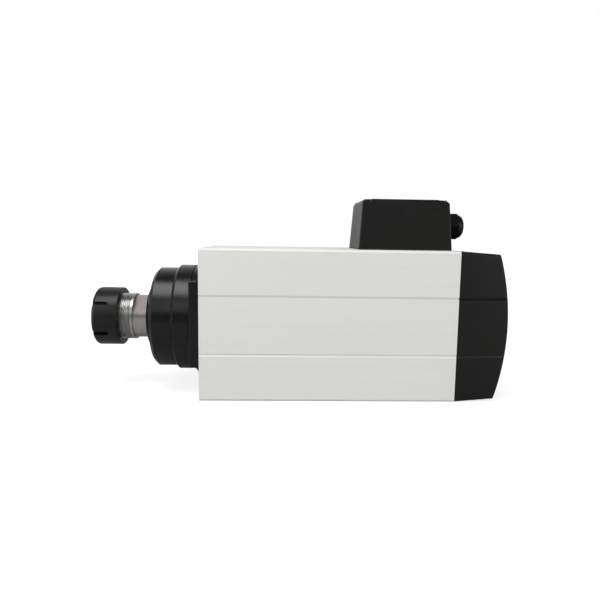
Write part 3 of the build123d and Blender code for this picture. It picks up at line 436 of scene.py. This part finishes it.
def addThreadRow(work, look, row, lastCrest):
    # One line of points round the helix. The thread fades in and out at its ends.
    depth = look["profile"][row % len(look["profile"])]
    ring = []
    for column in range(look["columns"] + 1):
        turn = column / look["columns"]
        x = look["front"] + look["pitch"] * (row / len(look["profile"]) + turn)
        x = min(max(x, look["front"]), look["back"])
        fade = min(1.0, max(0.0, x - look["front"]) / look["lead"], max(0.0, lastCrest - x) / look["lead"])
        radius = look["radius"] + depth * fade
        angle = 2 * math.pi * turn
        ring.append(work.verts.new((x, radius * math.cos(angle), radius * math.sin(angle))))
    return ring


def makeThreadedSpindle(look):
    work = bmesh.new()
    work.from_mesh(frame["nodes"]["spindle_shaft"].data)
    bmesh.ops.remove_doubles(work, verts=work.verts, dist=weldReach)

    def onThread(point):
        return (abs(math.hypot(point.y, point.z) - look["radius"]) < look["match"]
                and look["front"] - look["match"] < point.x < look["back"] + look["match"])

    plain = [face for face in work.faces if all(onThread(vert.co) for vert in face.verts)]
    bmesh.ops.delete(work, geom=plain, context="FACES")
    steps = len(look["profile"])
    turns = math.ceil((look["back"] - look["front"]) / look["pitch"]) + 1
    lastCrest = look["back"] - look["land"]
    rows = [addThreadRow(work, look, row, lastCrest) for row in range(-steps, turns * steps + 1)]
    for lower, upper in zip(rows, rows[1:]):
        for column in range(look["columns"]):
            work.faces.new((lower[column], lower[column + 1], upper[column + 1], upper[column]))
    bmesh.ops.remove_doubles(work, verts=work.verts, dist=look["merge"])
    bmesh.ops.dissolve_degenerate(work, edges=work.edges, dist=weldReach)
    bmesh.ops.recalc_face_normals(work, faces=work.faces)
    mesh = bpy.data.meshes.new("threadedSpindle")
    work.to_mesh(mesh)
    work.free()
    shadeByAngle(mesh, look["sharpAngle"])
    mesh.materials.append(finishes["ground_steel"])
    spindle = bpy.data.objects.new("threadedSpindle", mesh)
    bpy.context.scene.collection.objects.link(spindle)
    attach(spindle, "shaft")
    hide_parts("spindle_shaft")


makeThreadedSpindle(threadLook)
print("spindle threaded")


# Studio: pale floor, white surround, a soft lamp above, one behind for the far side and weaker ones around

studio = {"floorSize": 12.0, "floorGap": 0.0002, "floorColour": (0.36, 0.36, 0.36), "floorShade": 0.98,
          "floorRough": 0.8, "floorSpecular": 0.2, "mottleScale": 3.0, "mottleDetail": 2.0,
          "floorLift": (0.76, 0.98), "liftReach": (0.3, 1.2), "ambient": 0.36,
          "glossFront": 0.03, "glossBack": 0.85, "glossReach": (0.15, 1.0)}
lamps = [
    {"name": "topLamp", "place": (-0.20, -0.40, 1.12), "aim": (0.0, 0.0, 0.0),
     "size": (0.8, 0.62), "power": 9.0, "glossy": True},
    {"name": "backLamp", "place": (0.06, 1.60, 0.30), "aim": (0.06, 0.0, 0.02),
     "size": (2.4, 0.8), "power": 10.0, "glossy": False},
    {"name": "leftLamp", "place": (-1.10, -0.75, 0.35), "aim": (0.06, 0.0, 0.0),
     "size": (0.6, 0.9), "power": 9.0, "glossy": True},
    {"name": "rightLamp", "place": (1.25, -0.75, 0.30), "aim": (0.06, 0.0, 0.0),
     "size": (0.6, 0.9), "power": 8.0, "glossy": True},
    {"name": "frontLamp", "place": (0.06, -1.30, 0.75), "aim": (0.06, 0.0, 0.0),
     "size": (1.2, 0.6), "power": 3.2, "glossy": True},
    {"name": "noseLamp", "place": (-1.20, 0.10, 0.30), "aim": (0.0, 0.0, 0.0),
     "size": (0.6, 0.8), "power": 1.0, "glossy": True},
]


def makeFloor(look, level):
    mesh = bpy.data.meshes.new("floor")
    half = look["floorSize"] / 2
    corners = [(-half, -half, level), (half, -half, level), (half, half, level), (-half, half, level)]
    mesh.from_pydata(corners, [], [(0, 1, 2, 3)])
    floor = bpy.data.objects.new("floor", mesh)
    bpy.context.scene.collection.objects.link(floor)
    material, tree, shader, position = startMaterial("paleFloor", {"specular": look["floorSpecular"]})
    mottle = addNode(tree, "ShaderNodeTexNoise",
                     {"Vector": position, "Scale": look["mottleScale"], "Detail": look["mottleDetail"]})
    shade = tuple(look["floorShade"] * value for value in look["floorColour"])
    setSocket(tree, shader.inputs["Base Color"], blendColour(tree, mottle.outputs["Fac"], shade, look["floorColour"]))
    shader.inputs["Roughness"].default_value = look["floorRough"]
    seen = addNode(tree, "ShaderNodeLightPath").outputs
    away = addNode(tree, "ShaderNodeVectorMath", {0: position}, operation="LENGTH").outputs["Value"]
    glow = spread(tree, away, *look["liftReach"], *look["floorLift"])  # lifts the seen floor to white, not the light
    lift = addNode(tree, "ShaderNodeEmission", {"Strength": doMath(tree, "MULTIPLY", seen["Is Camera Ray"], glow)})
    lit = addNode(tree, "ShaderNodeAddShader", {0: shader.outputs[0], 1: lift.outputs[0]})
    below = addNode(tree, "ShaderNodeNewGeometry").outputs["Backfacing"]  # from below, the floor is left open
    clear = addNode(tree, "ShaderNodeBsdfTransparent")
    both = addNode(tree, "ShaderNodeMixShader", {0: below, 1: lit.outputs[0], 2: clear.outputs[0]})
    output = next(node for node in tree.nodes if node.type == "OUTPUT_MATERIAL")
    tree.links.new(both.outputs[0], output.inputs["Surface"])
    mesh.materials.append(material)


def makeSurround(look):
    # White to the camera. Reflections see it dark towards the camera's side and pale behind the object.
    world = bpy.data.worlds.new("surround")
    bpy.context.scene.world = world
    world.use_nodes = True
    tree = world.node_tree
    background = next(node for node in tree.nodes if node.type == "BACKGROUND")
    seen = addNode(tree, "ShaderNodeLightPath").outputs
    direction = addNode(tree, "ShaderNodeTexCoord").outputs["Generated"]
    depth = addNode(tree, "ShaderNodeSeparateXYZ", {0: direction}).outputs[1]
    glossy = spread(tree, depth, *look["glossReach"], look["glossFront"], look["glossBack"])
    plain = mixFloat(tree, seen["Is Glossy Ray"], look["ambient"], glossy)
    direct = doMath(tree, "MAXIMUM", seen["Is Camera Ray"], seen["Is Transmission Ray"])
    setSocket(tree, background.inputs["Strength"], mixFloat(tree, direct, plain, 1.0))
    background.inputs["Color"].default_value = (1.0, 1.0, 1.0, 1.0)


def makeLamp(look):
    light = bpy.data.lights.new(look["name"], "AREA")
    light.shape = "RECTANGLE"
    light.size, light.size_y = look["size"]
    light.energy = look["power"]
    lamp = bpy.data.objects.new(look["name"], light)
    lamp.location = look["place"]
    lamp.visible_glossy = look["glossy"]
    lamp.rotation_euler = (Vector(look["aim"]) - Vector(look["place"])).to_track_quat("-Z", "Y").to_euler()
    bpy.context.scene.collection.objects.link(lamp)


makeFloor(studio, cadBox[0][2] - studio["floorGap"])
makeSurround(studio)
for lampLook in lamps:
    makeLamp(lampLook)
print("studio lit")


# Camera, as fitted to the photograph. Its turns are in radians.

cameraLook = {"place": (0.0753, -0.4684, 0.0721), "yaw": -0.0341, "pitch": -0.1203, "roll": -0.0149,
              "focalPixels": 531.6, "framePixels": 600.0, "sensor": 36.0, "clipStart": 0.01}


def makeCamera(look):
    turn = (Matrix.Rotation(look["yaw"], 3, "Z") @ Matrix.Rotation(look["pitch"], 3, "X")
            @ Matrix.Rotation(look["roll"], 3, "Y"))
    right, ahead, up = turn.col[0], turn.col[1], turn.col[2]
    data = bpy.data.cameras.new("camera")
    data.sensor_width = look["sensor"]
    data.lens = look["focalPixels"] * look["sensor"] / look["framePixels"]
    data.clip_start = look["clipStart"]
    camera = bpy.data.objects.new("camera", data)
    basis = Matrix((right, up, -ahead)).transposed()
    camera.matrix_world = Matrix.Translation(look["place"]) @ basis.to_4x4()
    bpy.context.scene.collection.objects.link(camera)
    bpy.context.scene.camera = camera


makeCamera(cameraLook)
bpy.context.scene.view_settings.view_transform = "Standard"
print("camera set")

bpy.context.view_layer.update()
